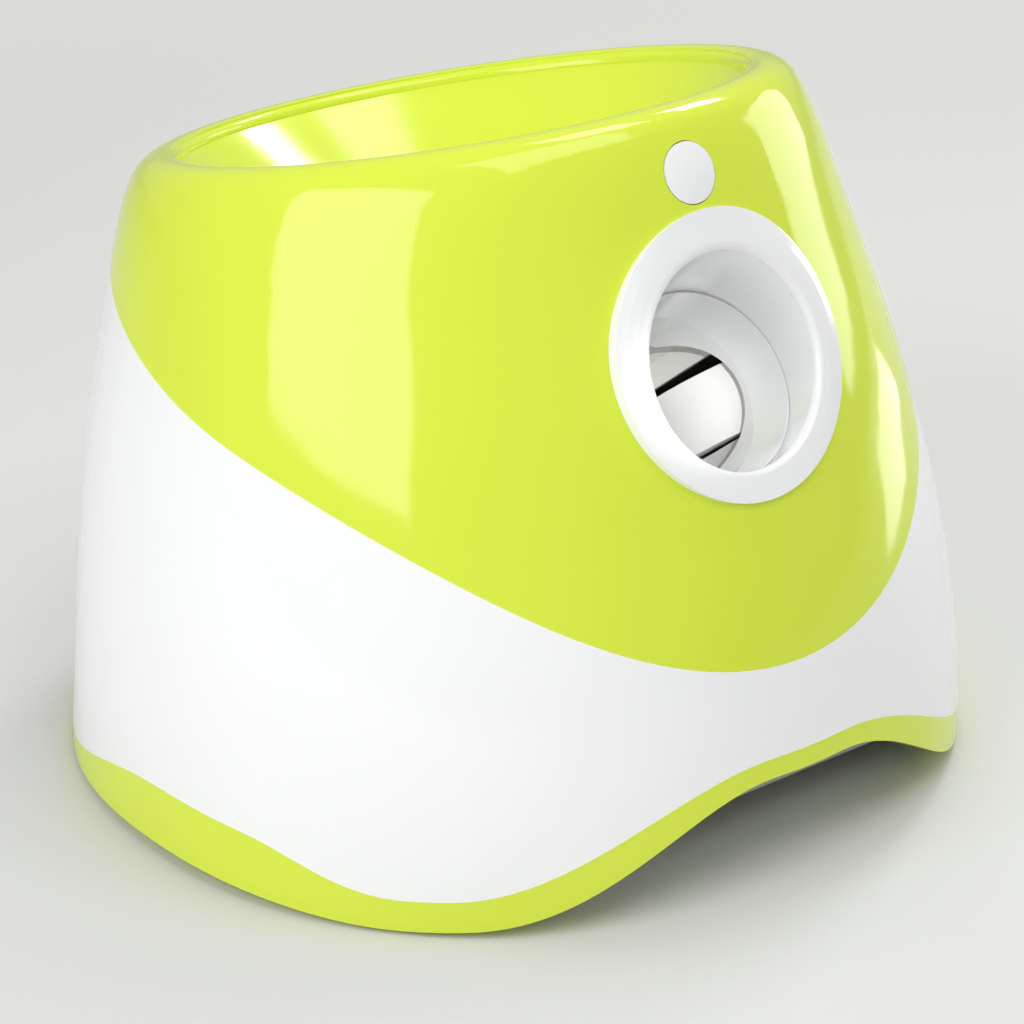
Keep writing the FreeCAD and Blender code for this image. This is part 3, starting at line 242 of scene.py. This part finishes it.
# a spark-eroded or ground texture is really 0.05 to 0.1 mm wide; it is drawn at 0.4 to 0.8 mm, as
# coarse as it needs to show
plastics = {
    # glossy lime ABS from a polished tool: clear soft highlights, a very slow waviness
    "glossLimeAbs": {"hex": "#D9EB41", "flowHex": "#DCEE45", "roughLow": 0.07, "roughHigh": 0.1,
                     "peel": 9.0, "peelStrength": 0.05, "grain": 0.5, "grainStrength": 0.03,
                     "ior": 1.53},
    # the same lime ABS on the funnel, which balls have burnished to a softer gloss
    "satinLimeAbs": {"hex": "#D9EB41", "flowHex": "#DCEE45", "roughLow": 0.12, "roughHigh": 0.17,
                     "peel": 9.0, "peelStrength": 0.05, "grain": 0.5, "grainStrength": 0.03,
                     "ior": 1.53},
    # glossy white ABS from a polished tool
    "glossWhiteAbs": {"hex": "#F6F7F8", "flowHex": "#F8F9F9", "roughLow": 0.1, "roughHigh": 0.14,
                      "peel": 9.0, "peelStrength": 0.05, "grain": 0.5, "grainStrength": 0.03,
                      "ior": 1.53},
    # white ABS from a spark-eroded tool, as on the parts behind the barrel: paler and less glossy
    "grainWhiteAbs": {"hex": "#F3F4F4", "flowHex": "#F6F6F6", "roughLow": 0.3, "roughHigh": 0.4,
                      "peel": 8.0, "peelStrength": 0.05, "grain": 0.45, "grainStrength": 0.25,
                      "ior": 1.53},
    # light grey ABS from a spark-eroded tool: an even, fine, matt grain
    "grainGreyAbs": {"hex": "#C9CBCD", "flowHex": "#CECFD0", "roughLow": 0.42, "roughHigh": 0.55,
                     "peel": 8.0, "peelStrength": 0.05, "grain": 0.45, "grainStrength": 0.35,
                     "ior": 1.53},
    # black ABS, same grain
    "grainBlackAbs": {"hex": "#17181A", "flowHex": "#1B1C1E", "roughLow": 0.4, "roughHigh": 0.55,
                      "peel": 8.0, "peelStrength": 0.05, "grain": 0.45, "grainStrength": 0.35,
                      "ior": 1.53},
    # natural acetal: milky, slightly waxy
    "waxyAcetal": {"hex": "#E6E6E0", "flowHex": "#ECECE7", "roughLow": 0.3, "roughHigh": 0.38,
                   "peel": 6.0, "peelStrength": 0.05, "grain": 0.6, "grainStrength": 0.08,
                   "ior": 1.48},
    # black nitrile rubber, pressed: matt with a dusty bloom
    "pressedRubber": {"hex": "#161616", "flowHex": "#222221", "roughLow": 0.6, "roughHigh": 0.75,
                      "peel": 5.0, "peelStrength": 0.1, "grain": 0.7, "grainStrength": 0.5,
                      "ior": 1.52},
    # white thermoplastic elastomer with a fine ground surface, which grips the ball
    "groundElastomer": {"hex": "#F6F6F4", "flowHex": "#FAFAF8", "roughLow": 0.38, "roughHigh": 0.5,
                        "peel": 5.0, "peelStrength": 0.08, "grain": 0.8, "grainStrength": 0.3,
                        "ior": 1.5},
    # printed film sleeve of a dry cell
    "filmSleeve": {"hex": "#3A4048", "flowHex": "#454B53", "roughLow": 0.22, "roughHigh": 0.3,
                   "peel": 12.0, "peelStrength": 0.05, "grain": 0.8, "grainStrength": 0.05,
                   "ior": 1.5},
    # green solder mask over copper and glass epoxy
    "solderMask": {"hex": "#155233", "flowHex": "#1B5E3C", "roughLow": 0.24, "roughHigh": 0.36,
                   "peel": 2.0, "peelStrength": 0.15, "grain": 0.5, "grainStrength": 0.2,
                   "ior": 1.55},
    # moulded epoxy bodies of electronic parts
    "epoxyBody": {"hex": "#202124", "flowHex": "#292A2D", "roughLow": 0.45, "roughHigh": 0.6,
                  "peel": 3.0, "peelStrength": 0.1, "grain": 0.4, "grainStrength": 0.3,
                  "ior": 1.55},
}
finishes = {name: mouldedPlastic(name, finish) for name, finish in plastics.items()}
dress(finishes["glossLimeAbs"], "upper_shell", "base_trim")
dress(finishes["satinLimeAbs"], "hopper")
dress(finishes["glossWhiteAbs"], "lower_shell", "outlet_ring", "launch_barrel", "button_cap",
      "wheel_hub_left", "wheel_hub_right")
dress(finishes["grainWhiteAbs"], "ball_channel", "drop_tube", "launcher_stand")
dress(finishes["grainGreyAbs"], "base_pan", "battery_door")
dress(finishes["grainBlackAbs"], "battery_box", "power_jack", "trip_switch", "button_switch",
      "motor_end_cap_left", "motor_end_cap_right")
dress(finishes["waxyAcetal"], "trip_lever", "button_plunger")
dress(finishes["pressedRubber"], "rubber_feet")
dress(finishes["groundElastomer"], "wheel_tyre_left", "wheel_tyre_right")
dress(finishes["filmSleeve"], "battery_cells")
dress(finishes["solderMask"], "control_board", "button_board")
dress(finishes["epoxyBody"], "board_parts")
print("plastics done")


# what all worked metals share: the width of the plated layer's mottling and the depth of the fine
# lines from rolling or turning, in millimetres
metalSet = {"mottle": 3.0, "lineDepth": 0.03, "lineStrength": 0.15}


def workedMetal(name, finish):
    material, tree = newMaterial(name)
    place = addNode(tree, "ShaderNodeTexCoord").outputs["Object"]
    stretched = addNode(tree, "ShaderNodeMapping", {"Vector": place, "Scale": finish["stretch"]})
    lines = addNode(tree, "ShaderNodeTexNoise", {"Vector": stretched.outputs[0],
                                                 "Scale": perMillimetre(finish["line"]),
                                                 "Detail": 4.0})
    mottle = addNode(tree, "ShaderNodeTexNoise", {"Vector": place, "Detail": 4.0,
                                                  "Scale": perMillimetre(metalSet["mottle"])})
    colour = addNode(tree, "ShaderNodeMix", {"Factor": mottle.outputs["Fac"],
                                             "A": toLinear(finish["hex"]),
                                             "B": toLinear(finish["mottleHex"])}, data_type="RGBA")
    rough = addNode(tree, "ShaderNodeMapRange", {"Value": lines.outputs["Fac"], "From Min": 0.3,
                                                 "From Max": 0.7, "To Min": finish["roughLow"],
                                                 "To Max": finish["roughHigh"]})
    bump = addNode(tree, "ShaderNodeBump", {"Height": lines.outputs["Fac"],
                                            "Strength": metalSet["lineStrength"],
                                            "Distance": metalSet["lineDepth"] / 1000})
    shader = addNode(tree, "ShaderNodeBsdfPrincipled",
                     {"Base Color": colour.outputs["Result"], "Roughness": rough.outputs[0],
                      "Metallic": 1.0, "Normal": bump.outputs[0]})
    closeMaterial(tree, shader)
    return material


# the lines are really finer too, and are drawn 0.5 to 0.7 mm wide so that they show
metals = {
    # zinc-plated steel: bluish, slightly mottled
    "zincSteel": {"hex": "#B4B8BC", "mottleHex": "#C3C6C9", "roughLow": 0.25, "roughHigh": 0.4,
                  "line": 0.6, "stretch": (1.0, 1.0, 6.0)},
    # nickel-plated spring steel: brighter and smoother
    "nickelSpring": {"hex": "#C9C6BE", "mottleHex": "#D2CFC8", "roughLow": 0.15, "roughHigh": 0.25,
                     "line": 0.5, "stretch": (1.0, 1.0, 4.0)},
    # enamelled copper windings on a laminated core
    "enamelCopper": {"hex": "#B5683A", "mottleHex": "#C67A49", "roughLow": 0.3, "roughHigh": 0.45,
                     "line": 0.7, "stretch": (1.0, 1.0, 8.0)},
}
finishes.update({name: workedMetal(name, finish) for name, finish in metals.items()})
dress(finishes["zincSteel"], "housing_screws", "trip_pin", "motor_bracket_left",
      "motor_bracket_right", "motor_can_left", "motor_can_right", "motor_shaft_left",
      "motor_shaft_right", "motor_screws", "bracket_screws", "stand_screws", "board_screws")
dress(finishes["nickelSpring"], "battery_contacts")
dress(finishes["enamelCopper"], "motor_rotor_left", "motor_rotor_right")
print("metals done")
